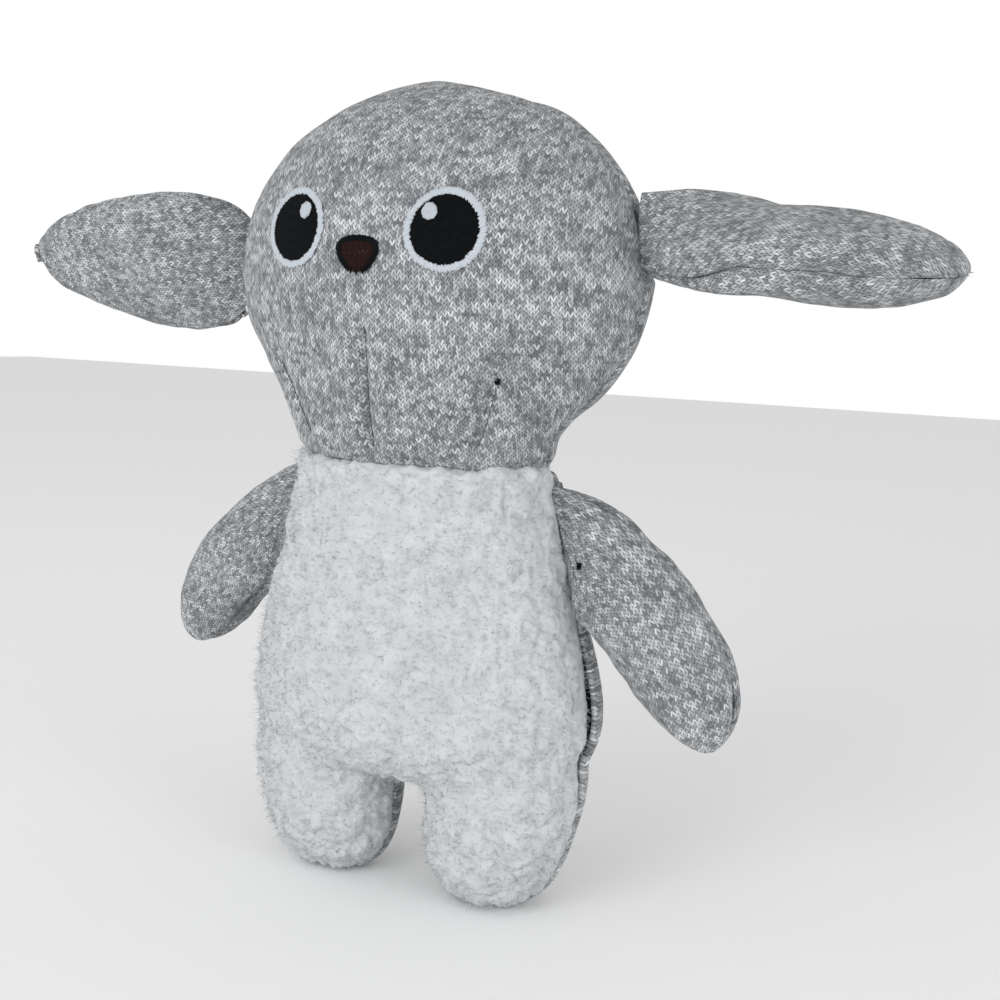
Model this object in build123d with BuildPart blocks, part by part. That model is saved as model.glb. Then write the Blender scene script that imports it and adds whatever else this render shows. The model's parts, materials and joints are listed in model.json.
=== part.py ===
"""A soft lamb toy of grey sweater knit with a white fleece belly, one solid for each sewn piece.

Millimetres. +Z is up and the face looks along -Y, so the toy's own left side is at +X.
It stands on its soles at Z = 0, under the middle of its box.
"""
import os
from math import cos, radians, sin, tan

from build123d import *

os.makedirs("parts", exist_ok=True)

# --- cloth and thread
knit_thickness = 1.6
fleece_thickness = 5.0        # backing and pile together
fill_clearance = 0.3          # between a cloth panel and the fill behind it
thread_thickness = 0.8
thread_clearance = 0.1
stitch_height = 1.0           # how far embroidery stands out from the knit
seam_half_gap = thread_thickness / 2 + thread_clearance
panel_half_gap = 0.1          # between two panels sewn flat to each other

# --- head: a bulb that narrows to the neck
neck_height = 131.0
head_height = 109.0
head_half_width = 64.5
head_half_depth = 46.0
neck_half_width = 38.5
neck_half_depth = 27.0
head_widest = 0.51            # share of the head's height at which it is widest
crown_power = 2.0             # 2 is an ellipse, more is squarer
cheek_power = 1.5             # how quickly the cheeks narrow to the neck
crown_end = 0.995             # the crown closes in a small flat here

# --- the bend at the neck
nod_angle = 19.0
nod_spare_angle = 2.0
neck_gap = 0.4                # at the bend line itself

# --- trunk and legs
belly_half_width = 56.0
belly_half_depth = 31.0
belly_height = 58.0           # where the trunk is widest
trunk_bottom = 27.0
seat_power = 2.6              # 2 is an ellipse, more is squarer
waist_power = 1.35            # how quickly the trunk narrows to the neck
leg_half_width = 25.0
leg_half_depth = 22.0
leg_spread = 31.0             # from the middle to a leg's centre line
foot_spread = 27.5            # the same at the sole
leg_end_height = 34.0         # over this height the leg rounds in to its sole
leg_top = 0.74                # a leg's size where it ends inside the trunk, as a share of its own

# --- eyes, nose and the tucks under them
eye_spread = 23.0
eye_height = 196.0
pupil_radius = 9.0
eye_tall = 1.03               # the eyes are a little taller than wide
ring_width = 1.8
highlight_radius = 2.1
highlight_in = 4.2
highlight_up = 4.5
nose_height = 188.9
nose_width = 18.5             # before its corners are rounded
nose_tall = 11.5
nose_corner = 2.4
tuck_width = 0.9
middle_tuck = ((0.6, 170.0), (-2.0, 137.0))
side_tuck = ((35.3, 156.0), (27.0, 139.0))
knot_radius = 1.3

# --- ears: flat at the seam, then turned so that one long edge comes forward
ear_length = 85.0
ear_root_half = 13.0
ear_half_width = 22.0
ear_half_thickness = 10.0
ear_gap = 3.2
left_ear_height = 197.5
right_ear_height = 186.5
left_ear_drop = 10.0          # how far the tip hangs below the root
right_ear_drop = 1.0
left_ear_turn = (-90.0, -15.0)  # front edge's angle above straight ahead, at the root and further out
right_ear_turn = (90.0, 62.0)

# --- arms: flat paddles that bend down from the shoulder seam
arm_length = 68.0
arm_root_half = 17.5
arm_half_width = 16.0
arm_half_thickness = 9.5
arm_root_height = 109.5
arm_gap = 3.2
left_arm_slopes = (-27.0, -72.0)   # at the shoulder and at the hand
right_arm_slopes = (-30.0, -58.0)
right_arm_swing = 22.0        # the right arm rests this far back

# Outlines as shares: (share of length, share of width, share of thickness, share of the turn)
ear_outline = (
    (0.00, None, 0.14, 0.00),
    (0.14, 0.68, 0.60, 0.40),
    (0.36, 0.93, 0.95, 0.90),
    (0.60, 1.00, 1.00, 1.00),
    (0.82, 0.76, 0.78, 1.00),
    (0.95, 0.42, 0.42, 1.00),
    (1.00, 0.14, 0.14, 1.00),
)
arm_outline = (
    (0.00, None, 0.13, 0.00),
    (0.15, 1.04, 0.62, 0.60),
    (0.38, 1.00, 0.94, 1.00),
    (0.68, 0.97, 1.00, 1.00),
    (0.86, 0.72, 0.74, 1.00),
    (0.97, 0.33, 0.34, 1.00),
    (1.00, 0.14, 0.14, 1.00),
)
head_shares = (0.0, 0.12, 0.25, 0.38, 0.51, 0.64, 0.76, 0.86, 0.93, 0.975, crown_end)
trunk_shares = (0.0, 0.25, 0.50, 0.75, 1.0)
seat_shares = (0.97, 0.85, 0.65, 0.35)
leg_end_shape = ((0.0, 0.42), (0.1, 0.62), (0.3, 0.82), (0.6, 0.95), (1.0, 1.0))
far = 400.0


# --- the head's and the trunk's shapes

def head_size(share, full, neck):
    """Half the head's width or depth at a share of its height above the neck."""
    if share < head_widest:
        return full - (full - neck) * ((head_widest - share) / head_widest) ** cheek_power
    rest = (share - head_widest) / (1 - head_widest)
    return full * (1 - rest**crown_power) ** (1 / crown_power)


def head_form(grow, mode=Mode.ADD):
    """The head's outer form, made bigger all round by grow."""
    sections = []
    for share in head_shares:
        height = neck_height + share * (head_height + grow)
        with BuildSketch(Plane.XY.offset(height)) as section:
            Ellipse(
                head_size(share, head_half_width, neck_half_width) + grow,
                head_size(share, head_half_depth, neck_half_depth) + grow,
            )
        sections.append(section.sketch)
    loft(sections, mode=mode)


def trunk_size(share, full, neck):
    """Half the trunk's width or depth at a share of the way from the belly up to the neck."""
    return full - (full - neck) * share**waist_power


def body_form(grow, mode=Mode.ADD):
    """The trunk with its two legs, made bigger all round by grow."""
    seat = belly_height - trunk_bottom + grow
    sections = []
    for share in seat_shares:
        with BuildSketch(Plane.XY.offset(belly_height - share * seat)) as section:
            round_in = (1 - share**seat_power) ** (1 / seat_power)
            Ellipse((belly_half_width + grow) * round_in, (belly_half_depth + grow) * round_in)
        sections.append(section.sketch)
    for share in trunk_shares:
        height = belly_height + share * (neck_height - belly_height)
        with BuildSketch(Plane.XY.offset(height)) as section:
            Ellipse(
                trunk_size(share, belly_half_width, neck_half_width) + grow,
                trunk_size(share, belly_half_depth, neck_half_depth) + grow,
            )
        sections.append(section.sketch)
    loft(sections, mode=mode)
    for side in (-1, 1):
        sections = []
        for share, size in leg_end_shape:
            height = share * (leg_end_height + grow) - grow
            spread = foot_spread + (leg_spread - foot_spread) * share
            with BuildSketch(Plane.XY.offset(height)) as section:
                with Locations((side * spread, 0)):
                    Ellipse(leg_half_width * size + grow, leg_half_depth * size + grow)
            sections.append(section.sketch)
        with BuildSketch(Plane.XY.offset(belly_height)) as section:
            with Locations((side * leg_spread, 0)):
                Ellipse(leg_half_width * leg_top + grow, leg_half_depth * leg_top + grow)
        sections.append(section.sketch)
        loft(sections, mode=mode)


neck_rise = far * tan(radians((nod_angle + nod_spare_angle) / 2))


def neck_wedge(side, gap):
    """Cuts away what is within gap of the bend line and inside the angle that the nod needs."""
    with BuildSketch(Plane.YZ) as wedge:
        Polygon(
            (-far, neck_height + side * (gap + neck_rise)),
            (0, neck_height + side * gap),
            (far, neck_height + side * (gap + neck_rise)),
            (far, neck_height - side * far),
            (-far, neck_height - side * far),
            align=None,
        )
    extrude(wedge.sketch, amount=far, both=True, mode=Mode.SUBTRACT)


def front_half():
    """Keeps what is in front of the side seams."""
    split(bisect_by=Plane.XZ.offset(seam_half_gap), keep=Keep.TOP)


def back_half():
    """Keeps what is behind the side seams."""
    split(bisect_by=Plane.XZ.offset(-seam_half_gap), keep=Keep.BOTTOM)


def seam_slice():
    """Keeps the thin slice in the side seams that the thread runs in."""
    split(bisect_by=Plane.XZ.offset(thread_thickness / 2), keep=Keep.BOTTOM)
    split(bisect_by=Plane.XZ.offset(-thread_thickness / 2), keep=Keep.TOP)


pieces = {}


def keep_piece(name, builder):
    builder.part.label = name
    pieces[name] = builder.part


# --- head

with BuildPart() as head_front_panel:
    head_form(0)
    head_form(-knit_thickness, Mode.SUBTRACT)
    neck_wedge(1, neck_gap)
    front_half()
keep_piece("head_front_panel", head_front_panel)

with BuildPart() as head_back_panel:
    head_form(0)
    head_form(-knit_thickness, Mode.SUBTRACT)
    neck_wedge(1, neck_gap)
    back_half()
keep_piece("head_back_panel", head_back_panel)

with BuildPart() as head_stuffing:
    head_form(-knit_thickness - fill_clearance)
    neck_wedge(1, neck_gap)
keep_piece("head_stuffing", head_stuffing)

with BuildPart() as head_seam_thread:
    head_form(-thread_clearance)
    head_form(-thread_clearance - thread_thickness, Mode.SUBTRACT)
    neck_wedge(1, neck_gap)
    seam_slice()
keep_piece("head_seam_thread", head_seam_thread)


# --- embroidery and tucks: patches that follow the head's surface

def stitched(height):
    """A skin over the head, from just clear of the knit out to a stitch height."""
    head_form(height)
    head_form(thread_clearance, Mode.SUBTRACT)


for side, side_name in ((1, "left"), (-1, "right")):
    eye_place = (side * eye_spread, eye_height)
    shine_place = (side * (eye_spread - highlight_in), eye_height + highlight_up)
    ring_outer = pupil_radius + ring_width

    with BuildPart() as eye_ring:
        stitched(stitch_height)
        with BuildSketch(Plane.XZ):
            with Locations(eye_place):
                Ellipse(ring_outer, ring_outer * eye_tall)
                Ellipse(pupil_radius, pupil_radius * eye_tall, mode=Mode.SUBTRACT)
        extrude(amount=far, mode=Mode.INTERSECT)
    keep_piece(f"{side_name}_eye_ring", eye_ring)

    with BuildPart() as eye_pupil:
        stitched(stitch_height)
        pupil_inside = pupil_radius - thread_clearance
        with BuildSketch(Plane.XZ):
            with Locations(eye_place):
                Ellipse(pupil_inside, pupil_inside * eye_tall)
            with Locations(shine_place):
                Circle(highlight_radius + thread_clearance, mode=Mode.SUBTRACT)
        extrude(amount=far, mode=Mode.INTERSECT)
    keep_piece(f"{side_name}_eye_pupil", eye_pupil)

    with BuildPart() as eye_highlight:
        stitched(stitch_height)
        with BuildSketch(Plane.XZ):
            with Locations(shine_place):
                Circle(highlight_radius)
        extrude(amount=far, mode=Mode.INTERSECT)
    keep_piece(f"{side_name}_eye_highlight", eye_highlight)

with BuildPart() as nose_embroidery:
    stitched(stitch_height)
    with BuildSketch(Plane.XZ):
        Polygon(
            (-nose_width / 2, nose_height + nose_tall / 2),
            (0, nose_height - nose_tall / 2),
            (nose_width / 2, nose_height + nose_tall / 2),
            align=None,
        )
        fillet(vertices(), nose_corner)
    extrude(amount=far, mode=Mode.INTERSECT)
keep_piece("nose_embroidery", nose_embroidery)

left_side_tuck = side_tuck
right_side_tuck = tuple((-across, up) for across, up in side_tuck)
for tuck_name, tuck in (
    ("middle", middle_tuck),
    ("left", left_side_tuck),
    ("right", right_side_tuck),
):
    (top_x, top_z), (low_x, low_z) = tuck
    with BuildPart() as tuck_thread:
        stitched(thread_thickness)
        with BuildSketch(Plane.XZ):
            Polygon(
                (top_x - tuck_width / 2, top_z),
                (low_x - tuck_width / 2, low_z),
                (low_x + tuck_width / 2, low_z),
                (top_x + tuck_width / 2, top_z),
                align=None,
            )
        extrude(amount=far, mode=Mode.INTERSECT)
    keep_piece(f"{tuck_name}_tuck_thread", tuck_thread)

with BuildPart() as cheek_knot:
    stitched(stitch_height)
    with BuildSketch(Plane.XZ):
        with Locations((side_tuck[0][0], side_tuck[0][1] + knot_radius + thread_clearance)):
            Circle(knot_radius)
    extrude(amount=far, mode=Mode.INTERSECT)
keep_piece("cheek_knot", cheek_knot)


# --- trunk and legs

neck_thread_room = neck_gap + thread_thickness + thread_clearance

with BuildPart() as belly_panel:
    body_form(0)
    body_form(-fleece_thickness, Mode.SUBTRACT)
    neck_wedge(-1, neck_thread_room)
    front_half()
keep_piece("belly_panel", belly_panel)

with BuildPart() as body_back_panel:
    body_form(0)
    body_form(-knit_thickness, Mode.SUBTRACT)
    neck_wedge(-1, neck_thread_room)
    back_half()
keep_piece("body_back_panel", body_back_panel)

with BuildPart() as body_stuffing:
    body_form(-fleece_thickness - fill_clearance)
    neck_wedge(-1, neck_gap)
keep_piece("body_stuffing", body_stuffing)

with BuildPart() as body_seam_thread:
    body_form(-thread_clearance)
    body_form(-thread_clearance - thread_thickness, Mode.SUBTRACT)
    neck_wedge(-1, neck_thread_room)
    seam_slice()
keep_piece("body_seam_thread", body_seam_thread)

with BuildPart() as neck_seam_thread:
    body_form(-thread_clearance)
    body_form(-thread_clearance - thread_thickness, Mode.SUBTRACT)
    neck_wedge(-1, neck_gap)
    thread_foot = neck_height - neck_gap - thread_thickness
    with BuildSketch(Plane.YZ):
        Polygon(
            (-far, thread_foot - neck_rise),
            (0, thread_foot),
            (far, thread_foot - neck_rise),
            (far, neck_height),
            (-far, neck_height),
            align=None,
        )
    extrude(amount=far, both=True, mode=Mode.INTERSECT)
keep_piece("neck_seam_thread", neck_seam_thread)


# --- ears and arms: two half-lens panels sewn round their edge, with fill between

def half_lens(plane, half_width, half_thickness, halves):
    """One cross-section: the whole lens, or the half on one side of its long edge line."""
    with BuildSketch(plane) as section:
        Ellipse(half_thickness, half_width, rotation=90)  # its own seam away from the cut edge
        if halves:
            with Locations((0, -halves * far)):
                Rectangle(far, 2 * (far - panel_half_gap), mode=Mode.SUBTRACT)
    return section.sketch


def ear_form(side, middle_height, drop, turn, halves, grow, mode=Mode.ADD):
    """An ear, or its upper or lower half, from the seam line on the head out to the tip."""
    share = (middle_height - neck_height) / head_height
    root_x = head_size(share, head_half_width, neck_half_width) + ear_gap
    stations = ear_outline if grow >= 0 else ear_outline[1:-1]
    sections = []
    for along, width, thickness, turned in stations:
        half_width = ear_root_half if width is None else ear_half_width * width
        angle = radians(turn[0] + (turn[1] - turn[0]) * turned)
        plane = Plane(
            origin=(side * (root_x + along * ear_length), 0, middle_height - drop * along),
            x_dir=(0, -cos(angle), sin(angle)),
            z_dir=(side, 0, 0),
        )
        half_thickness = ear_half_thickness * thickness + grow
        sections.append(half_lens(plane, half_width + grow, half_thickness, halves))
    loft(sections, mode=mode)


def arm_root_line():
    """The arm's seam line: how far out it is at its middle height, and how far its top leans in."""
    def width_at(height):
        share = (height - belly_height) / (neck_height - belly_height)
        return trunk_size(share, belly_half_width, neck_half_width)

    top = width_at(arm_root_height + arm_root_half)
    low = width_at(arm_root_height - arm_root_half)
    return width_at(arm_root_height) + arm_gap, (top - low) / (2 * arm_root_half)


def arm_middle(side, along):
    """A point on the arm's centre line, with the slope of the line there."""
    start_slope, end_slope = left_arm_slopes if side > 0 else right_arm_slopes
    slope = start_slope + (end_slope - start_slope) * along
    average = radians((start_slope + slope) / 2)
    reach = along * arm_length
    root_x, lean = arm_root_line()
    middle = (side * (root_x + reach * cos(average)), 0, arm_root_height + reach * sin(average))
    return Vector(*middle), radians(slope)


def swung(plane, hinge, angle):
    """The plane turned about a hinge line."""
    turn = Axis((0, 0, 0), hinge.direction)
    return Plane(
        origin=hinge.position + (plane.origin - hinge.position).rotate(turn, angle),
        x_dir=plane.x_dir.rotate(turn, angle),
        z_dir=plane.z_dir.rotate(turn, angle),
    )


def arm_form(side, swing, halves, grow, mode=Mode.ADD):
    """An arm, or its front or back half, from the seam line on the trunk out to the hand."""
    root = arm_middle(side, 0)[0]
    lean = arm_root_line()[1]
    hinge = Axis(root, (side * lean, 0, 1))
    stations = arm_outline if grow >= 0 else arm_outline[1:-1]
    sections = []
    for along, width, thickness, turned in stations:
        half_width = arm_root_half if width is None else arm_half_width * width
        middle, slope = arm_middle(side, along)
        across = -lean + (slope + lean) * turned
        plane = Plane(
            origin=middle,
            x_dir=(-side * sin(across), 0, cos(across)),
            z_dir=(side * cos(across), 0, sin(across)),
        )
        half_thickness = arm_half_thickness * thickness + grow
        cut = swung(plane, hinge, swing)
        sections.append(half_lens(cut, half_width + grow, half_thickness, halves))
    loft(sections, mode=mode)


for side, side_name, height, drop, turn in (
    (1, "left", left_ear_height, left_ear_drop, left_ear_turn),
    (-1, "right", right_ear_height, right_ear_drop, right_ear_turn),
):
    for halves, half_name in ((1, "lower"), (-1, "upper")):
        with BuildPart() as ear_panel:
            ear_form(side, height, drop, turn, side * halves, 0)
            ear_form(side, height, drop, turn, 0, -knit_thickness, Mode.SUBTRACT)
        keep_piece(f"{side_name}_ear_{half_name}_panel", ear_panel)
    with BuildPart() as ear_stuffing:
        ear_form(side, height, drop, turn, 0, -knit_thickness - fill_clearance)
    keep_piece(f"{side_name}_ear_stuffing", ear_stuffing)

for side, side_name, swing in ((1, "left", 0.0), (-1, "right", -right_arm_swing)):
    for halves, half_name in ((1, "front"), (-1, "back")):
        with BuildPart() as arm_panel:
            arm_form(side, swing, side * halves, 0)
            arm_form(side, swing, 0, -knit_thickness, Mode.SUBTRACT)
        keep_piece(f"{side_name}_arm_{half_name}_panel", arm_panel)
    with BuildPart() as arm_stuffing:
        arm_form(side, swing, 0, -knit_thickness - fill_clearance)
    keep_piece(f"{side_name}_arm_stuffing", arm_stuffing)

knot_along, _, knot_thickness, _ = arm_outline[1]
knot_out = arm_half_thickness * knot_thickness + thread_clearance + knot_radius
with BuildPart() as arm_knot:
    with Locations(arm_middle(1, knot_along)[0] - Vector(0, knot_out, 0)):
        Sphere(knot_radius)
keep_piece("arm_knot", arm_knot)

for name, piece in pieces.items():
    export_step(piece, f"parts/{name}.step")
    print(f"{name:26s} {len(piece.solids())} solid(s) {piece.volume / 1000:8.2f} cm3")
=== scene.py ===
# %% [markdown]
# # A stuffed lamb of sweater knit and sherpa fleece
#
# The real toy is cut from flat cloth, sewn inside out, turned, stuffed with loose fibre and closed.
# This lesson makes each cut panel as its own piece, laid over the form that the stuffing gives it.
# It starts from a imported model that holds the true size, the joints and the place of every piece.

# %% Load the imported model
import json
import math

import bpy
import numpy as np
from mathutils import Matrix, Vector, noise
from mathutils.bvhtree import BVHTree

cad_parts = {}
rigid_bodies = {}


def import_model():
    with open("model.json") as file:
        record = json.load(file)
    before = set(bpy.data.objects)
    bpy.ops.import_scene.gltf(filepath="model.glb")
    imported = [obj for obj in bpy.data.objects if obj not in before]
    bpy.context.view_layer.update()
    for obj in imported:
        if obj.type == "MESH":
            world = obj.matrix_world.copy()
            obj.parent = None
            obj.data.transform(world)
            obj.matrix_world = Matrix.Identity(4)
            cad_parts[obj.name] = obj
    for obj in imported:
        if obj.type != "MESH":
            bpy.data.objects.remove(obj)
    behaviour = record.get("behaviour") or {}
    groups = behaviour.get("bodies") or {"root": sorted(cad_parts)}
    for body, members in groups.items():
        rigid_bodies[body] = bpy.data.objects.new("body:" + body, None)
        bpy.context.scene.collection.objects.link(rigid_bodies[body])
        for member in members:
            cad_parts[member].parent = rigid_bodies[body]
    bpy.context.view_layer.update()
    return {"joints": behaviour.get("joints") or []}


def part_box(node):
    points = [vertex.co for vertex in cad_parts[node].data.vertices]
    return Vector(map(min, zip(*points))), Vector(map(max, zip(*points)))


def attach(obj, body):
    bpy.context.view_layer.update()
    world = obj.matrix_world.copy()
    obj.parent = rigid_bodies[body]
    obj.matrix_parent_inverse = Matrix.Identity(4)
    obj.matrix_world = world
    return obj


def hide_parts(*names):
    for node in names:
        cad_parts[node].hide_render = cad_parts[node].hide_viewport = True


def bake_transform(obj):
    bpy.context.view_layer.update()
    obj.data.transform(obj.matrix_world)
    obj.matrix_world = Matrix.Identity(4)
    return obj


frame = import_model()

# %% [markdown]
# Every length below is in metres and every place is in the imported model's own frame: +Z is up, the
# face looks along -Y, and the toy's own left side is at +X. The sizes that matter are read from it.

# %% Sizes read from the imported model
mm = 0.001
joints = {joint["name"]: joint for joint in frame["joints"]}
neck_z = joints["head_nod"]["pos_m"][2]
face_low, face_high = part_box("head_front_panel")
_, neck_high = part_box("neck_seam_thread")
belly_low, belly_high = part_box("belly_panel")
crown_z = face_high.z
head_tall = crown_z - neck_z
head_half_depth = -face_low.y
neck_half_width = neck_high.x
neck_half_depth = neck_high.y
belly_half_width = belly_high.x
belly_half_depth = -belly_low.y
knit_thick = 1.6 * mm
fleece_thick = 4.2 * mm
inside_head = (0, 0, 0.18)
inside_trunk = (0, 0, 0.07)
print(f"head {head_tall:.3f} tall, neck at {neck_z:.3f}, belly {2 * belly_half_width:.3f} wide")


# %% [markdown]
# Blender's operators act on whatever is selected, and the loaded model is selected at first. These
# small helpers clear the selection, read and write a mesh's points as arrays, and apply modifiers.

# %% Small helpers
def deselect():
    for item in bpy.context.view_layer.objects:
        item.select_set(False)


def pick(piece):
    deselect()
    piece.select_set(True)
    bpy.context.view_layer.objects.active = piece
    return piece


def points_of(mesh):
    flat = np.empty(len(mesh.vertices) * 3)
    mesh.vertices.foreach_get("co", flat)
    return flat.reshape(-1, 3)


def normals_of(mesh):
    flat = np.empty(len(mesh.vertices) * 3)
    mesh.vertices.foreach_get("normal", flat)
    return flat.reshape(-1, 3)


def set_points(mesh, points):
    mesh.vertices.foreach_set("co", np.ascontiguousarray(points, dtype=np.float32).ravel())
    mesh.update()


def apply_modifier(piece, kind, **settings):
    pick(piece)
    modifier = piece.modifiers.new(kind.title(), kind)
    for key, value in settings.items():
        setattr(modifier, key, value)
    bpy.ops.object.modifier_apply(modifier=modifier.name)
    return piece


def edit_all(piece, *steps):
    """Runs mesh operators on all of a piece; each step is an operator and its settings."""
    pick(piece)
    bpy.ops.object.mode_set(mode="EDIT")
    for operator, settings in steps:
        bpy.ops.mesh.select_all(action="SELECT")
        operator(**settings)
    bpy.ops.object.mode_set(mode="OBJECT")
    return piece


def new_piece(name, points, faces):
    """A smooth piece made straight from its points and faces."""
    mesh = bpy.data.meshes.new(name)
    mesh.from_pydata(points.reshape(-1, 3).tolist(), [], faces)
    mesh.shade_smooth()
    piece = bpy.data.objects.new(name, mesh)
    bpy.context.scene.collection.objects.link(piece)
    return piece


def write_cut_map(mesh, cut):
    """Keeps each point's place on the flat cloth, in metres, as the map "cut"."""
    corners = np.empty(len(mesh.loops), dtype=np.int64)
    mesh.loops.foreach_get("vertex_index", corners)
    layer = mesh.uv_layers.get("cut") or mesh.uv_layers.new(name="cut")
    layer.data.foreach_set("uv", cut[corners].astype(np.float32).ravel())


def bumps(points, size, seed=0.0):
    """A soft random height, about -1 to 1, that changes over about this size."""
    shift = Vector((seed, seed * 0.7, seed * 1.3))
    return np.array([noise.noise(Vector(point) / size + shift) for point in points])


def soft_step(value, start, end):
    """0 before start, 1 after end and smooth between them."""
    share = np.clip((value - start) / (end - start), 0.0, 1.0)
    return share * share * (3 - 2 * share)


def profile(places, stations):
    """A smooth curve through a few (place, value) stations, without overshoot."""
    at = np.array([station[0] for station in stations], dtype=float)
    value = np.array([station[1] for station in stations], dtype=float)
    slope = np.diff(value) / np.diff(at)
    lean = np.concatenate([[slope[0]], (slope[1:] + slope[:-1]) / 2, [slope[-1]]])
    turns = np.concatenate([[False], slope[1:] * slope[:-1] <= 0, [False]])
    lean[turns] = 0.0
    places = np.clip(places, at[0], at[-1])
    step = np.clip(np.searchsorted(at, places, side="right") - 1, 0, len(at) - 2)
    gap = at[step + 1] - at[step]
    t = (places - at[step]) / gap
    return (
        (2 * t**3 - 3 * t**2 + 1) * value[step]
        + (t**3 - 2 * t**2 + t) * gap * lean[step]
        + (3 * t**2 - 2 * t**3) * value[step + 1]
        + (t**3 - t**2) * gap * lean[step + 1]
    )


deselect()
print("helpers ready")

# %% [markdown]
# ## Materials
#
# The toy has two cloths. The grey one is a stocking-stitch sweater knit: columns of small V's, made
# of a yarn that is spun from dark, grey and white fibre, so each stitch has its own shade and light
# and dark runs follow the rows. The other is a white sherpa fleece. The rest is sewing thread.
#
# Shader sums are easier to read as ordinary Python sums, so a small class turns them into nodes.


# %% Shader sums written as Python
class Value:
    """A number or a vector that flows between shader nodes."""

    def __init__(self, bench, socket):
        self.bench, self.socket = bench, socket

    def sum(self, operation, *others, flip=False):
        values = (*others, self) if flip else (self, *others)
        sockets = {f"i{number}": value for number, value in enumerate(values)}
        return self.bench.node("ShaderNodeMath", settings={"operation": operation}, **sockets)

    def __add__(self, other):
        return self.sum("ADD", other)

    def __sub__(self, other):
        return self.sum("SUBTRACT", other)

    def __mul__(self, other):
        return self.sum("MULTIPLY", other)

    def __truediv__(self, other):
        return self.sum("DIVIDE", other)

    def __pow__(self, other):
        return self.sum("POWER", other)

    def __rsub__(self, other):
        return self.sum("SUBTRACT", other, flip=True)

    __radd__, __rmul__ = __add__, __mul__

    def whole(self):
        return self.sum("FLOOR")

    def part(self):
        return self.sum("FRACT")

    def size(self):
        return self.sum("ABSOLUTE")

    def step(self, start, end):
        """0 before start, 1 after end and smooth between them."""
        settings = {"interpolation_type": "SMOOTHSTEP"}
        return self.bench.node("ShaderNodeMapRange", settings=settings, i0=self, i1=start, i2=end)


class Bench:
    """Builds the nodes of one material."""

    def __init__(self, name, roughness=0.9, sheen=0.0):
        self.material = bpy.data.materials.new(name)
        self.material.use_nodes = True
        self.tree = self.material.node_tree
        self.surface = self.tree.nodes["Principled BSDF"].inputs
        self.surface["Roughness"].default_value = roughness
        self.surface["Sheen Weight"].default_value = sheen
        self.surface["Sheen Roughness"].default_value = 0.5
        self.surface["Specular IOR Level"].default_value = 0.2

    def feed(self, socket, value):
        if isinstance(value, Value):
            self.tree.links.new(value.socket, socket)
        else:
            socket.default_value = value

    def node(self, kind, output=0, settings=None, **sockets):
        """Any node: its settings first, then its inputs by number, as in i0=..."""
        node = self.tree.nodes.new(kind)
        for key, value in (settings or {}).items():
            setattr(node, key, value)
        for key, value in sockets.items():
            self.feed(node.inputs[int(key[1:])], value)
        return Value(self, node.outputs[output])

    def split(self, vector):
        node = self.tree.nodes.new("ShaderNodeSeparateXYZ")
        self.feed(node.inputs[0], vector)
        return [Value(self, output) for output in node.outputs]

    def join(self, x, y, z=0.0):
        return self.node("ShaderNodeCombineXYZ", i0=x, i1=y, i2=z)

    def mix(self, share, first, second):
        """Mixes two colours."""
        settings = {"data_type": "RGBA"}
        return self.node("ShaderNodeMix", output=2, settings=settings, i0=share, i6=first, i7=second)

    def clouds(self, vector, scale, detail=2.0):
        return self.node("ShaderNodeTexNoise", i0=vector, i2=scale, i3=detail)

    def dice(self, vector):
        """One random number for each whole place."""
        return self.node("ShaderNodeTexWhiteNoise", settings={"noise_dimensions": "3D"}, i0=vector)

    def finish(self, colour, height=None, depth=0.0):
        self.feed(self.surface["Base Color"], colour)
        if height is not None:
            bump = self.tree.nodes.new("ShaderNodeBump")
            bump.inputs["Distance"].default_value = depth
            self.feed(bump.inputs["Height"], height)
            self.tree.links.new(bump.outputs["Normal"], self.surface["Normal"])
        return self.material


def grey(level, blue=0.0):
    """A grey from its 0 to 255 screen level, made a little cooler by blue."""
    def linear(screen):
        screen = screen / 255
        return screen / 12.92 if screen <= 0.04045 else ((screen + 0.055) / 1.055) ** 2.4
    return (linear(level - blue), linear(level), linear(level + blue), 1.0)


print("material helpers ready")

# %% [markdown]
# The knit reads the cloth's own measurements, a map called "cut" in metres. A wale is one column of
# stitches and a course is one row. Inside a wale the two legs of each stitch lean towards the middle,
# so a row number that rises with the distance from the middle draws the V's. A random number for
# every stitch, and a slower one that runs along each row, pick the shade of the heather yarn.

# %% Heather knit
wale = 1.6 * mm
course = 1.3 * mm
leg_slant = 1.7


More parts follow.
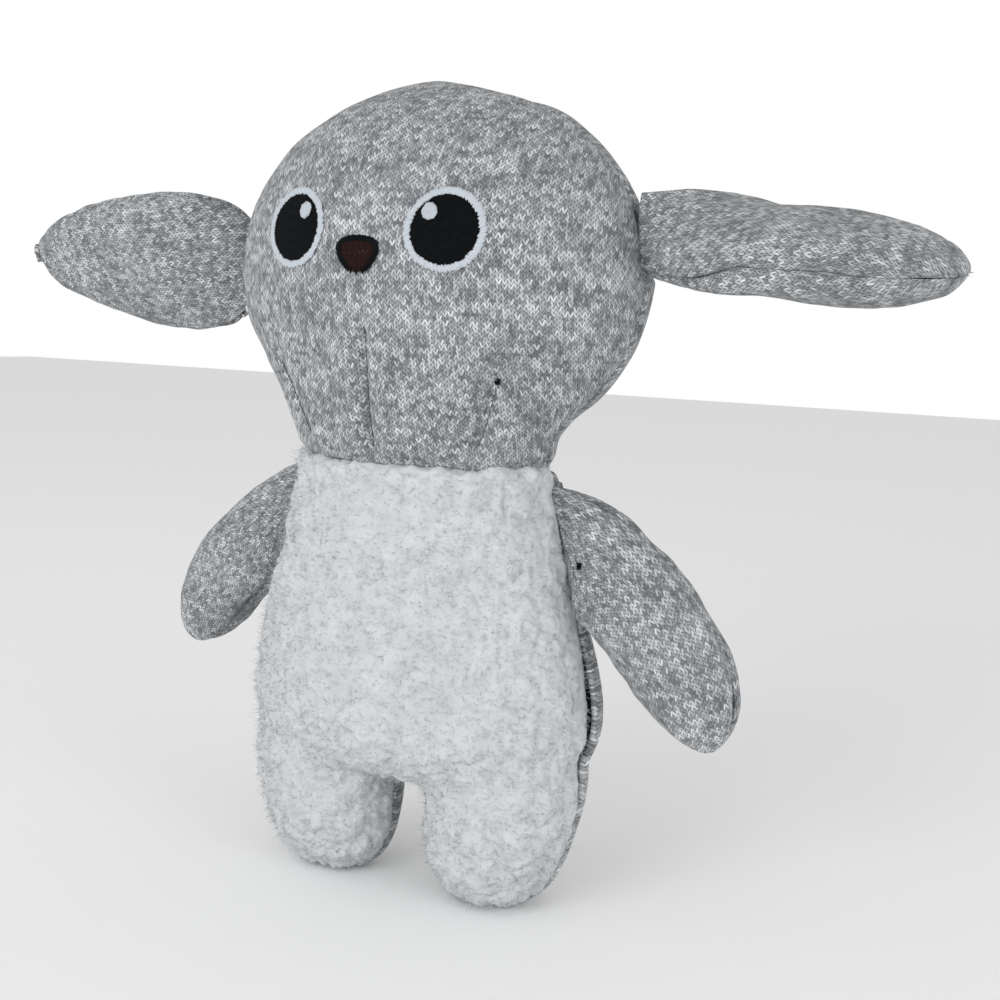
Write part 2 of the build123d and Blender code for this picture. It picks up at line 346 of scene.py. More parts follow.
def knit_material(name, dark=58, middle=146, light=226):
    bench = Bench(name, roughness=0.95, sheen=0.12)
    cut = bench.node("ShaderNodeUVMap", settings={"uv_map": "cut"})
    cut_x, cut_y, _ = bench.split(cut)
    sway = bench.clouds(bench.join(cut_x, cut_y), 160.0) - 0.5
    across = cut_x / wale + sway * 0.35
    up = cut_y / course + sway * 0.5
    from_middle = (across.part() - 0.5).size()
    slanted = up - from_middle * leg_slant
    column, row, leg = across.whole(), slanted.whole(), slanted.part()
    which_leg = (across * 2.0).whole()

    # Shade: one throw of the dice per stitch, one run of spun fibre along each row
    stitch = bench.dice(bench.join(column, row, 1.0))
    half_stitch = bench.dice(bench.join(which_leg, row, 2.0))
    run = bench.clouds(bench.join(across * 0.28, row * 7.3), 1.0, 1.0)
    drift = bench.clouds(bench.join(across * 0.09, up * 0.13), 1.0, 2.0)
    fibre = bench.clouds(bench.join(across * 5.0, slanted * 2.6), 1.0, 3.0)
    shade = run * 0.3 + stitch * 0.2 + half_stitch * 0.2 + drift * 0.22 + fibre * 0.5
    pale = shade.step(0.62, 0.98)
    deep = 1.0 - shade.step(0.5, 0.7)
    colour = bench.mix(pale, grey(middle, 3), grey(light, 2))
    colour = bench.mix(deep * 0.55, colour, grey(dark, 4))

    # Height: each leg is a round strand with a narrow gap beside it
    round_leg = 1.0 - ((leg - 0.5) * 2.0).size() ** 1.6
    beside = 1.0 - ((from_middle - 0.25).size() * 4.0) ** 2.4
    height = round_leg * 0.62 + beside * 0.38 + fibre * 0.35
    # Painted shade: the colour is darkened in the narrow gaps between the legs, where shade falls
    gap = 1.0 - height.step(0.3, 0.95)
    colour = bench.mix(gap * 0.8, colour, grey(dark + 18, 4))
    return bench.finish(colour, height, 0.4 * mm)


heather_knit = knit_material("heather_knit")

# %% [markdown]
# Sherpa is a knitted backing with a thick teased pile. Its real clumps are modelled, so its material
# only adds the smallest curls and a slight painted shade in the hollows. Thread is a filament with a
# soft shine. Its strands are modelled too, so plain colours with a faint fibre grain are enough.


# %% Sherpa, thread and fill
def sherpa_material():
    bench = Bench("sherpa_fleece", roughness=1.0, sheen=0.1)
    place = bench.node("ShaderNodeTexCoord", output=3)
    curls = bench.clouds(place, 900.0, 3.0)
    clumps = bench.clouds(place, 160.0, 2.0)
    # Painted shade: the colour is a little greyer where the clump bump is low, in the hollows
    colour = bench.mix(clumps.step(0.3, 0.7), grey(192, 3), grey(201, 2))
    return bench.finish(colour, curls * 0.7 + clumps * 0.3, 0.45 * mm)


def thread_material(name, tone, grain, roughness=0.45):
    bench = Bench(name, roughness=roughness)
    bench.surface["Specular IOR Level"].default_value = 0.08
    place = bench.node("ShaderNodeTexCoord", output=3)
    fibre = bench.clouds(place, 2500.0, 2.0)
    return bench.finish(bench.mix(fibre, tone, grain), fibre, 0.05 * mm)


sherpa = sherpa_material()
white_thread = thread_material("white_thread", grey(178, 7), grey(200, 6))
black_thread = thread_material("black_thread", grey(5, 1), grey(16, 3), 0.7)
brown_thread = thread_material(
    "brown_thread", (0.010, 0.004, 0.003, 1), (0.030, 0.011, 0.009, 1), 0.6)
seam_thread = thread_material("seam_thread", grey(66, 2), grey(96, 2), 0.7)
fibre_fill = thread_material("fibre_fill", grey(236), grey(250), 0.95)
print("materials ready:", len(bpy.data.materials))

# %% [markdown]
# ## The shape of the stuffed head
#
# A stuffed bag of two cut panels is round in the middle and narrows to the neck like a light bulb.
# No stuffed head is even: this one is fuller on its left, its cheeks leave the neck in a soft curve,
# and the fill has left a hump and a dent on the crown. Each side has its own half width.

# %% The head's form
head_widest = 0.51
crown_power = 2.05            # 2 is an ellipse, more is squarer
left_full = 65.2 * mm
right_full = 60.3 * mm
left_cheek = (
    (0, 0), (8, 0.6), (12, 3), (15.5, 6.2), (19, 10.8), (27, 17.6), (39, 23.6), (55.6, 26.7),
)
right_cheek = ((0, 0), (9, 2.2), (16, 5), (24, 9.2), (32, 14.4), (40, 18.8), (55.6, 21.8))


def bulb_depth(share):
    below = head_half_depth - (head_half_depth - neck_half_depth) * (
        np.clip((head_widest - share) / head_widest, 0.0, 1.0) ** 1.5
    )
    rest = np.clip((share - head_widest) / (1 - head_widest), 0.0, 1.0)
    return np.where(share < head_widest, below, head_half_depth * np.sqrt(np.maximum(1 - rest**2, 0)))


def bulb_width(share, side):
    """Half the head's width on one side: 1 for its left, -1 for its right."""
    full, cheek = (left_full, left_cheek) if side > 0 else (right_full, right_cheek)
    above_neck = share * head_tall / mm
    below = neck_half_width + profile(above_neck, cheek) * mm
    rest = np.clip((share - head_widest) / (1 - head_widest), 0.0, 1.0)
    above = full * np.maximum(1 - rest**crown_power, 0.0) ** (1 / crown_power)
    return np.where(share < head_widest, below, above)


def head_surface(angle, share, shrink=0.0):
    """Points on the head: angle from straight ahead, in radians, and share of the height."""
    wide = np.where(np.sin(angle) > 0, bulb_width(share, 1), bulb_width(share, -1)) - shrink
    deep = bulb_depth(share) - shrink
    x = np.maximum(wide, 0) * np.sin(angle)
    y = -np.maximum(deep, 0) * np.cos(angle)
    z = neck_z + (head_tall - shrink) * share
    return np.stack([x, y, z], axis=1)


print("the head is", round((left_full - right_full) / mm, 1), "mm fuller on its left")


# %% [markdown]
# A knitted panel is a rectangle of cloth before it is laid on the form, so it starts as a plain
# grid. Its own measurements, taken along the cloth, are kept as the map "cut", so the stitches are
# the same size everywhere and follow the cloth.

# %% Laying a flat panel on a form
def laid_panel(name, across, along, place):
    """A grid of cloth laid by place(u, v); u runs -1 to 1 across and v runs 0 to 1 along."""
    deselect()
    bpy.ops.mesh.primitive_grid_add(x_subdivisions=across, y_subdivisions=along, size=2)
    piece = bpy.context.object
    piece.name = name
    mesh = piece.data
    flat = points_of(mesh)
    u, v = flat[:, 0], (flat[:, 1] + 1) / 2
    laid = place(u, v)
    order = np.lexsort((np.round(u, 6), np.round(v, 6)))
    rows = laid[order].reshape(along + 1, across + 1, 3)
    steps = np.linalg.norm(np.diff(rows, axis=1), axis=2)
    run = np.concatenate([np.zeros((along + 1, 1)), np.cumsum(steps, axis=1)], axis=1)
    run -= run[:, [across // 2]]
    climb = np.linalg.norm(np.diff(rows[:, across // 2], axis=0), axis=1)
    climb = np.concatenate([[0.0], np.cumsum(climb)])
    cut = np.empty((len(flat), 2))
    cut[order, 0] = run.ravel()
    cut[order, 1] = np.repeat(climb, across + 1)
    set_points(mesh, laid)
    mesh.uv_layers[0].name = "cut"
    write_cut_map(mesh, cut)
    return piece


def close_points(piece, distance=0.02 * mm):
    """Merges points that lie together, as at the crown."""
    return edit_all(
        piece,
        (bpy.ops.mesh.remove_doubles, {"threshold": distance}),
        (bpy.ops.mesh.normals_make_consistent, {"inside": False}),
    )


def face_outward(piece, inside):
    """Turns the normals over if the cloth's good side faces the fill."""
    mesh = piece.data
    outward = np.sum((points_of(mesh) - inside) * normals_of(mesh))
    if outward < 0:
        edit_all(piece, (bpy.ops.mesh.flip_normals, {}))
    return piece


def thicken(piece, thickness, inside):
    """Gives the cloth its thickness, inward, and smooth shading."""
    face_outward(piece, inside)
    apply_modifier(piece, "SOLIDIFY", thickness=thickness, offset=-1)
    piece.data.shade_smooth()
    return piece


def wear(piece, material, slot, nodes):
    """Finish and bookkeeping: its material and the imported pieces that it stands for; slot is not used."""
    piece.data.materials.clear()
    piece.data.materials.append(material)
    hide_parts(*nodes)
    print(f"{piece.name}: {len(piece.data.polygons)} faces")


print("panel helpers ready")

# %% [markdown]
# ## The head's two panels
#
# The panels meet in a seam over the crown and down both sides. Cloth near a seam is drawn in by the
# thread and puckers a little. Three tucks under the muzzle are pinched up and stitched: each is a
# narrow groove with a soft swell beside it. At the neck the edge turns in to meet the fleece.

# %% Head panels
tucks = {
    "middle": ((0.6, 170.0), (-2.0, 136.0)),
    "left": ((38.5, 163.0), (27.0, 138.0)),
    "right": ((-37.0, 163.0), (-27.0, 138.0)),
}
tuck_starts = {"middle": 0.0, "left": 0.28, "right": 0.2}   # share of the tuck above its thread
# Place, height and size of each hump or dent on the crown, in millimetres
crown_humps = (((17, 9, 239), -2.6, 8), ((34, 16, 231), 1.9, 13), ((0, 2, 240), 1.8, 14))


def from_line(x, z, line):
    """Distance from a line seen from the front, and share of the way along it."""
    (top_x, top_z), (low_x, low_z) = [(a * mm, b * mm) for a, b in line]
    run_x, run_z = low_x - top_x, low_z - top_z
    long2 = run_x**2 + run_z**2
    share = ((x - top_x) * run_x + (z - top_z) * run_z) / long2
    held = np.clip(share, 0.0, 1.0)
    return np.hypot(x - top_x - held * run_x, z - top_z - held * run_z), share


def head_shaping(points, normals, edge):
    """Humps, dents, tucks, seam and neck edge; edge is the distance in from the side seam."""
    x, z = points[:, 0], points[:, 2]
    push = 0.9 * mm * bumps(points, 30 * mm, 3.0) + 0.45 * mm * bumps(points, 11 * mm, 7.0)
    front = points[:, 1] < 0
    for line in tucks.values():
        away, share = from_line(x, z, line)
        held = soft_step(share, -0.06, 0.10) * front
        push += held * (-1.6 * mm * np.exp(-((away / (1.1 * mm)) ** 2)))
        push += held * (-0.9 * mm * np.exp(-((away / (3.2 * mm)) ** 2)))
        push += held * (0.8 * mm * np.exp(-(((away - 6.0 * mm) / (3.0 * mm)) ** 2)))
    for place, depth, size in crown_humps:
        away = np.linalg.norm(points - np.array(place) * mm, axis=1)
        push += depth * mm * np.exp(-((away / (size * mm)) ** 2))
    pucker = 1 + 0.5 * bumps(points, 4 * mm, 11.0)
    push -= 1.5 * mm * pucker * np.exp(-((edge / (1.6 * mm)) ** 2))
    above = z - neck_z
    ripple = 1 + 0.25 * bumps(points, 6 * mm, 5.0)
    push -= 1.8 * mm * ripple * np.exp(-((above / (2.6 * mm)) ** 2))
    return points + normals * push[:, None]


def head_panel(name, facing):
    def place(u, v):
        points = head_surface(u * math.pi / 2 * facing, 1 - (1 - v) ** 1.12)
        points[:, 1] *= facing
        return points

    piece = laid_panel(name, 124, 104, place)
    close_points(piece)
    face_outward(piece, inside_head)
    apply_modifier(piece, "SUBSURF", levels=1, render_levels=1)
    mesh = piece.data
    points = points_of(mesh)
    shaped = head_shaping(points, normals_of(mesh), np.abs(points[:, 1]))
    seam = np.abs(points[:, 1]) < 0.05 * mm
    shaped[seam, 1] = 0.12 * mm * -facing
    set_points(mesh, shaped)
    return thicken(piece, knit_thick, inside_head)


head_front = head_panel("head_front", 1)
head_back = head_panel("head_back", -1)
for piece, node in ((head_front, "head_front_panel"), (head_back, "head_back_panel")):
    wear(piece, heather_knit, "heather_knit", [node])

# %% [markdown]
# ## Embroidery
#
# The eyes and the nose are machine embroidery: short straight stitches of shiny thread. One stitch
# is modelled, a small rounded strand, and copied to every place. The ring is radial satin stitch,
# the fills are staggered rows, and their ends are never quite even, as on the real cloth.


# %% One stitch and how it is sewn
def one_strand():
    """A rounded strand, one unit long along X and one unit thick."""
    deselect()
    bpy.ops.mesh.primitive_uv_sphere_add(segments=6, ring_count=6, radius=0.5)
    strand = bpy.context.object
    bpy.ops.transform.rotate(value=math.pi / 2, orient_axis="Y", center_override=(0, 0, 0))
    bpy.ops.object.transform_apply(location=False, rotation=True, scale=False)
    points = points_of(strand.data)
    faces = [tuple(face.vertices) for face in strand.data.polygons]
    bpy.data.objects.remove(strand)
    blunt = np.sign(points[:, 0]) * (np.abs(points[:, 0]) * 2) ** 0.6 / 2
    points[:, 0] = blunt
    return points, faces


strand_points, strand_faces = one_strand()


def sewn(name, starts, ends, normals, width, height):
    """One piece made of many strands, each from a start to an end on the cloth."""
    starts, ends, normals = np.array(starts), np.array(ends), np.array(normals)
    run = ends - starts
    side = np.cross(normals, run)
    side /= np.linalg.norm(side, axis=1)[:, None]
    middle = (starts + ends) / 2
    points = (
        middle[:, None]
        + strand_points[None, :, 0, None] * run[:, None]
        + strand_points[None, :, 1, None] * side[:, None] * width
        + strand_points[None, :, 2, None] * normals[:, None] * height
    )
    count = len(strand_points)
    faces = [
        tuple(corner + number * count for corner in face)
        for number in range(len(run)) for face in strand_faces
    ]
    return new_piece(name, points, faces)


def surface_of(piece):
    """Something that rays can hit, for finding places on a finished cloth."""
    mesh = piece.data
    faces = [tuple(face.vertices) for face in mesh.polygons]
    return BVHTree.FromPolygons(points_of(mesh).tolist(), faces)


face_surface = surface_of(head_front)


def on_face(x, z, lift=0.0):
    """The place on the face seen from the front at x, z in millimetres, and its normal."""
    hit, normal, _, _ = face_surface.ray_cast(Vector((x * mm, -0.3, z * mm)), Vector((0, 1, 0)))
    return np.array(hit + normal * lift * mm), np.array(normal)


def sewn_on_face(name, lines, width, lift, height=0.45):
    """Lines are ((x, z), (x, z)) in millimetres, seen from the front."""
    starts, ends, normals = [], [], []
    for first, last in lines:
        start, normal = on_face(*first, lift)
        end, end_normal = on_face(*last, lift)
        starts.append(start)
        ends.append(end)
        normals.append((normal + end_normal) / np.linalg.norm(normal + end_normal))
    return sewn(name, starts, ends, normals, width * mm, height * mm)


print("a strand has", len(strand_faces), "faces")

# %% [markdown]
# Each eye is a black round, a little taller than wide, inside a white ring, with a white spark
# towards the nose and up. The eyes sit slightly to the toy's left because the whole face does.

# %% Eyes
dice = np.random.default_rng(7)
eye_radius = 9.05
eye_tall = 1.04
ring_out = 10.8
eye_places = {"left": (23.8, 195.8), "right": (-21.9, 196.0)}
spark_radius = 2.1
spark_in = {"left": 4.4, "right": 3.7}
spark_up = 4.5
row_spacing = 0.40
fill_stitch = 3.4
ring_stitch_count = 176


def filled_round(x, z, radius, tall, spacing, stitch, lean):
    """Staggered rows of stitches that fill a round; the rows lean by an angle."""
    lines = []
    rows = int(2 * radius / spacing)
    for row in range(rows + 1):
        across = -radius + row * spacing
        reach = math.sqrt(max(radius**2 - across**2, 0.0)) + dice.uniform(-0.15, 0.15)
        place = -reach
        step = stitch * dice.uniform(0.35, 1.0)
        while place < reach - 0.6:
            end = min(place + step, reach)
            pair = []
            for along in (place, end):
                turned_x = across * math.cos(lean) - along * math.sin(lean)
                turned_z = across * math.sin(lean) + along * math.cos(lean)
                pair.append((x + turned_x, z + turned_z * tall))
            lines.append(tuple(pair))
            place, step = end - 0.4, stitch * dice.uniform(0.8, 1.15)
    return lines


def ring_stitches(x, z, inner, outer, tall, count):
    lines = []
    for number in range(count):
        angle = 2 * math.pi * (number + dice.uniform(-0.25, 0.25)) / count
        slant = angle + 0.05
        low, high = inner - dice.uniform(0.0, 0.5), outer + dice.uniform(-0.35, 0.25)
        first = (x + low * math.cos(angle), z + low * math.sin(angle) * tall)
        last = (x + high * math.cos(slant), z + high * math.sin(slant) * tall)
        lines.append((first, last))
    return lines


for side_name, side in (("left", 1), ("right", -1)):
    x, z = eye_places[side_name]
    spark = (x - side * spark_in[side_name], z + spark_up)
    fill = filled_round(x, z, eye_radius, eye_tall, row_spacing, fill_stitch, 0.1 * side)
    pupil = sewn_on_face(f"{side_name}_pupil", fill, 0.56, 0.22)
    satin = ring_stitches(x, z, eye_radius, ring_out, eye_tall, ring_stitch_count)
    ring = sewn_on_face(f"{side_name}_ring", satin, 0.66, 0.35, 0.7)
    spark_fill = filled_round(*spark, spark_radius, 1.15, row_spacing, 5.0, -0.5 * side)
    shine = sewn_on_face(f"{side_name}_shine", spark_fill, 0.55, 0.6, 0.5)
    for piece, material, slot, node in (
        (pupil, black_thread, "black_thread", "pupil"),
        (ring, white_thread, "white_thread", "ring"),
        (shine, white_thread, "white_thread", "highlight"),
    ):
        wear(piece, material, slot, [f"{side_name}_eye_{node}"])
        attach(piece, "head")

# %% [markdown]
# The nose is a rounded triangle with its point down. Its fill runs up and down, and a border of
# short stitches across the edge covers the ends.

# %% Nose
nose_x, nose_z = 0.4, 188.9
nose_half, nose_up, nose_down = 8.1, 4.6, 5.2


def nose_width(share):
    """Half width at a share of the way from the point up to the top edge."""
    return nose_half * share**0.45 * max(1 - share**4.5, 0.0) ** 0.5


def nose_outline(turn):
    """A place on the outline for a turn from 0 to 1, going round from the point."""
    share = 1 - abs(2 * turn - 1)
    share = 1 - (1 - share) ** 1.8
    side = 1 if turn < 0.5 else -1
    return side * nose_width(share), -nose_down + share * (nose_up + nose_down)


nose_lines = []
for number in range(33):
    across = -nose_half + number * 2 * nose_half / 32
    inside = [s / 60 for s in range(61) if nose_width(s / 60) >= abs(across) * 0.94]
    if len(inside) < 6:
        continue
    low = -nose_down + inside[0] * (nose_up + nose_down)
    high = -nose_down + inside[-1] * (nose_up + nose_down)
    places = np.linspace(low, high, max(2, int((high - low) / 3.2) + 1))
    places[1:-1] += dice.uniform(-0.8, 0.8)
    for start, end in zip(places[:-1], places[1:]):
        nose_lines.append(((nose_x + across, nose_z + start), (nose_x + across, nose_z + end + 0.5)))
nose_fill = sewn_on_face("nose", nose_lines, 0.56, 0.3, 0.6)
border = []
for number in range(96):
    x, z = nose_outline(number / 96)
    away = math.hypot(x, z) or 1.0
    out, back = 0.35 + dice.uniform(-0.15, 0.2), 1.3 + dice.uniform(-0.2, 0.2)
    border.append((
        (nose_x + x * (1 - back / away), nose_z + z * (1 - back / away)),
        (nose_x + x * (1 + out / away), nose_z + z * (1 + out / away)),
    ))
nose_border = sewn_on_face("nose_border", border, 0.52, 0.45, 0.6)
wear(nose_fill, brown_thread, "brown_thread", ["nose_embroidery"])
nose_border.data.materials.append(black_thread)
for piece in (nose_fill, nose_border):
    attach(piece, "head")

# %% [markdown]
# The tucks are closed by a machine seam that shows as a thin dark line in each groove. Where the
# toy's left tuck starts, the thread is tied off in a small dark knot.


# %% Tuck threads and the knot on the cheek
def tie_knot(name, place, normal, reach, width):
    """A few short strands crossed over one another."""
    normal = normal / np.linalg.norm(normal)
    side = np.cross(normal, (0, 0, 1.0))
    side /= np.linalg.norm(side)
    up = np.cross(side, normal)
    starts, ends = [], []
    for number in range(9):
        angle = dice.uniform(0, math.pi)
        half = (side * math.cos(angle) + up * math.sin(angle)) * reach * dice.uniform(0.6, 1.0)
        middle = place + (side * dice.uniform(-0.4, 0.4) + up * dice.uniform(-0.4, 0.4)) * reach
        middle = middle + normal * reach * dice.uniform(0.0, 0.35)
        starts.append(middle - half)
        ends.append(middle + half)
    piece = sewn(name, starts, ends, [normal] * len(starts), width, width)
    piece.data.materials.append(black_thread)
    return piece


tuck_pieces = []
for tuck_name, ((top_x, top_z), (low_x, low_z)) in tucks.items():
    begin = tuck_starts[tuck_name]
    top_x, top_z = top_x + (low_x - top_x) * begin, top_z + (low_z - top_z) * begin
    lines = []
    count = 13
    for number in range(count):
        first, last = (number + 0.05) / count, (number + 0.98) / count
        lines.append((
            (top_x + (low_x - top_x) * first, top_z + (low_z - top_z) * first),
            (top_x + (low_x - top_x) * last, top_z + (low_z - top_z) * last),
        ))
    piece = sewn_on_face(f"{tuck_name}_tuck", lines, 0.34, 0.0)
    wear(piece, seam_thread, "seam_thread", [f"{tuck_name}_tuck_thread"])
    tuck_pieces.append(piece)
knot_place, knot_normal = on_face(35.2, 156.6, 0.3)
cheek_knot = tie_knot("cheek_knot", knot_place, knot_normal, 1.1 * mm, 0.5 * mm)
wear(cheek_knot, black_thread, "black_thread", ["cheek_knot"])
tuck_pieces.append(cheek_knot)

# %% [markdown]
# ## Ears and arms
#
# Each is two leaf-shaped panels sewn edge to edge and lightly stuffed. The fill pushes both panels
# past the seam, so the seam lies in a crease between two soft lips. Across the leaf a panel is an
# arc that runs a little past its widest place before it meets the other one. Along the leaf, the
# width and the fill grow from the root and round off at the tip.


# %% Leaf-shaped bags
lip = 0.42                    # how far, as an angle, a panel runs past its widest place
leaf_end = 0.9998             # just short of the tip, where the leaf would close to nothing
tip_crowding = 1.7            # rows lie closer together towards the tip


def leaf_panel(name, across, along, line, side, seed):
    """line(v) gives centre, edge direction, fill direction, half width and half thickness."""
    past = math.pi / 2 + lip
    rise = math.sin(lip) / (1 + math.sin(lip))

    def place(u, v):
        centre, edge, fill, wide, thick = line(leaf_end * (1 - (1 - v) ** tip_crowding))
        angle = np.abs(u) * past
        out = np.sign(u) * np.sin(angle) * wide
        up = thick * (rise + (1 - rise) * np.cos(angle)) + 0.06 * mm
        return centre + edge * out[:, None] + fill * (side * up)[:, None]

    piece = laid_panel(name, across, along, place)
    close_points(piece)
    middle = points_of(piece.data).mean(axis=0) - line(np.array([0.5]))[2][0] * side * 12 * mm
    face_outward(piece, middle)
    apply_modifier(piece, "SUBSURF", levels=1, render_levels=1)
    mesh = piece.data
    points = points_of(mesh)
    push = 1.1 * mm * bumps(points, 17 * mm, seed) + 0.4 * mm * bumps(points, 6 * mm, seed + 3)
    set_points(mesh, points + normals_of(mesh) * push[:, None])
    return thicken(piece, knit_thick, middle)


def leaf_fill(name, line, shrink):
    """The stuffing of a leaf: a closed lens a little inside the panels."""
    def place(u, v):
        centre, edge, fill, wide, thick = line(0.06 + 0.86 * v)
        angle = u * math.pi
        close = np.sqrt(np.clip(1 - (2 * v - 1) ** 8, 0.0, 1.0))
        out = np.sin(angle) * np.maximum(wide - shrink, 0) * close
        up = np.cos(angle) * np.maximum(thick - shrink, 0) * close
        return centre + edge * out[:, None] + fill * up[:, None]

    piece = laid_panel(name, 24, 24, place)
    close_points(piece, 0.05 * mm)
    piece.data.shade_smooth()
    return piece


ear_half_width, ear_half_thick = 22 * mm, 11.2 * mm
ear_turned = ((0, 0), (0.14, 0.40), (0.36, 0.90), (0.60, 1.0), (1, 1))
ears = {
    "left": dict(
        side=1, lift=1 * mm, drop=8.0 * mm, turn=(-90, -15), length=82 * mm,
        wide=((0, 0.48), (0.14, 0.62), (0.36, 0.90), (0.60, 1.0), (0.82, 0.86), (0.95, 0.62), (1, 0.5)),
        thick=((0, 0.30), (0.14, 0.66), (0.36, 0.92), (0.60, 1.0), (0.82, 0.94), (0.95, 0.76), (1, 0.62)),
    ),
    "right": dict(
        side=-1, lift=0.5 * mm, drop=-2.5 * mm, turn=(90, 62), length=87 * mm,
        wide=((0, 0.60), (0.1, 0.84), (0.3, 1.02), (0.5, 0.97), (0.72, 0.78), (0.9, 0.58), (1, 0.42)),
        thick=((0, 0.20), (0.14, 0.6), (0.36, 0.8), (0.60, 0.72), (0.82, 0.56), (0.95, 0.4), (1, 0.25)),
    ),
}


def round_end(along, power=2.6):
    """Closes a leaf to nothing at its tip in a round curve."""
    return np.sqrt(np.clip(1 - along ** (power * 4), 0.0, 1.0))


def ear_line(name):
    ear = ears[name]
    side = ear["side"]
    root = Vector(joints[f"{name}_ear_flap"]["pos_m"])

    def line(along):
        centre = np.stack([
            root.x - side * 3.4 * mm + side * along * (ear["length"] + 3.4 * mm),
            np.zeros_like(along),
            root.z + ear["lift"] * (1 - along) ** 2 - ear["drop"] * along,
        ], axis=1)
        turn = np.radians(ear["turn"][0] + (ear["turn"][1] - ear["turn"][0]) * profile(along, ear_turned))
        edge = np.stack([np.zeros_like(turn), -np.cos(turn), np.sin(turn)], axis=1)
        fill = np.stack([np.zeros_like(turn), np.sin(turn), np.cos(turn)], axis=1)
        wide = ear_half_width * profile(along, ear["wide"]) * round_end(along)
        thick = ear_half_thick * profile(along, ear["thick"]) * round_end(along)
        return centre, edge, fill, wide, thick

    return line


for name, ear in ears.items():
    line = ear_line(name)
    made = []
    for half, side in (("upper", 1), ("lower", -1)):
        piece = leaf_panel(f"{name}_ear_{half}", 56, 84, line, side, 20.0 + ear["side"] + side * 4)
        wear(piece, heather_knit, "heather_knit", [f"{name}_ear_{half}_panel"])
        made.append(piece)
    fill = leaf_fill(f"{name}_ear_fill", line, 3.2 * mm)
    wear(fill, fibre_fill, "fibre_fill", [f"{name}_ear_stuffing"])
    made.append(fill)
    for piece in made:
        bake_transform(piece)

# %% [markdown]
# The arms hang from the side seams and bend down as they leave the shoulder. The toy's right arm is
# the straighter one and rests a little further back.

# %% Arms
arm_length = 68 * mm
arm_half_thick = 10 * mm
arm_wide = ((0, 1.06), (0.15, 1.04), (0.38, 1.0), (0.68, 0.96), (0.86, 0.8), (0.97, 0.56), (1, 0.44))
arm_thick = ((0, 0.18), (0.15, 0.62), (0.38, 0.95), (0.68, 1.0), (0.86, 0.86), (0.97, 0.6), (1, 0.45))
arm_turned = ((0, 0), (0.15, 0.60), (0.38, 1.0), (1, 1))
arms = {
    "left": dict(side=1, slope=(-27, -73), swing=0, half=15.2 * mm),
    "right": dict(side=-1, slope=(-31, -58), swing=-22, half=14.4 * mm),
}
lean_x, _, lean_z = joints["left_arm_flap"]["axis"]
arm_lean = lean_x / lean_z


def arm_line(name):
    arm = arms[name]
    side = arm["side"]
    root = np.array(joints[f"{name}_arm_flap"]["pos_m"])
    swing = Matrix.Rotation(math.radians(arm["swing"]), 3, Vector((side * arm_lean, 0, 1)))
    swing = np.array(swing)

    def line(along):
        start, end = arm["slope"]
        slope = np.radians(start + (end - start) * along)
        average = (np.radians(start) + slope) / 2
        reach = along * (arm_length + 4 * mm) - 4 * mm
        zero = np.zeros_like(along)
        centre = np.stack([side * reach * np.cos(average), zero, reach * np.sin(average)], axis=1)
        tilt = -arm_lean + (slope + arm_lean) * profile(along, arm_turned)
        edge = np.stack([-side * np.sin(tilt), zero, np.cos(tilt)], axis=1)
        fill = np.stack([zero, zero - 1, zero], axis=1)
        wide = arm["half"] * profile(along, arm_wide) * round_end(along, 3.2)
        thick = arm_half_thick * profile(along, arm_thick) * round_end(along, 3.2)
        return root + centre @ swing.T, edge @ swing.T, fill @ swing.T, wide, thick

    return line


for name, arm in arms.items():
    line = arm_line(name)
    made = []
    for half, side in (("front", 1), ("back", -1)):
        piece = leaf_panel(f"{name}_arm_{half}", 52, 76, line, side, 40.0 + arm["side"] + side * 4)
        wear(piece, heather_knit, "heather_knit", [f"{name}_arm_{half}_panel"])
        made.append(piece)
    if name == "left":
        hit, normal, _, _ = surface_of(made[0]).ray_cast(Vector((0.053, -0.3, 0.1055)), Vector((0, 1, 0)))
        knot = tie_knot("arm_knot", np.array(hit) + np.array(normal) * 0.3 * mm, np.array(normal),
                        1.2 * mm, 0.5 * mm)
        wear(knot, black_thread, "black_thread", ["arm_knot"])
        made.append(knot)
    fill = leaf_fill(f"{name}_arm_fill", line, 3.2 * mm)
    wear(fill, fibre_fill, "fibre_fill", [f"{name}_arm_stuffing"])
    made.append(fill)
    for piece in made:
        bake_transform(piece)

# %% [markdown]
# ## Trunk and legs
#
# The belly and the fronts of both stub legs are one cut of fleece, sewn to a knit back. The whole
# form is made first: a trunk and two legs are joined, remeshed to one skin and smoothed, which gives
# the soft crotch that a stuffed bag has. Then it is parted along the side seams.

# %% The form of the trunk
seat_z = 34 * mm
belly_z = 58 * mm
leg_half = 24 * mm
leg_depth = 22 * mm
leg_high = 34 * mm
foot_spread, leg_splay = 26.6, 3.9   # millimetres: at the sole, and how much more at leg_high
leg_reach = 1.8               # how far a leg runs up into the trunk, as a share of leg_high
seat_power = 2.6              # 2 is an ellipse, more is squarer
waist_power = 1.35            # how quickly the trunk narrows to the neck
ring_points = 64


def stacked(name, rings):
    """A closed form from stacked ellipses, each (x, z, half width, half depth)."""
    deselect()
    bpy.ops.mesh.primitive_cylinder_add(vertices=ring_points, radius=1, depth=1, end_fill_type="NGON")
    bpy.context.object.name = name
    piece = bpy.context.object
    turns = np.linspace(0, 2 * math.pi, ring_points, endpoint=False)
    points, faces = [], []
    for x, z, wide, deep in rings:
        points += [(x + wide * math.cos(t), deep * math.sin(t), z) for t in turns]
    for ring in range(len(rings) - 1):
        for k in range(ring_points):
            a, b = ring * ring_points + k, ring * ring_points + (k + 1) % ring_points
            faces.append((a, b, b + ring_points, a + ring_points))
    last = (len(rings) - 1) * ring_points
    faces.append(tuple(reversed(range(ring_points))))
    faces.append(tuple(range(last, last + ring_points)))
    mesh = bpy.data.meshes.new(name)
    mesh.from_pydata(points, [], faces)
    piece.data = mesh
    return piece


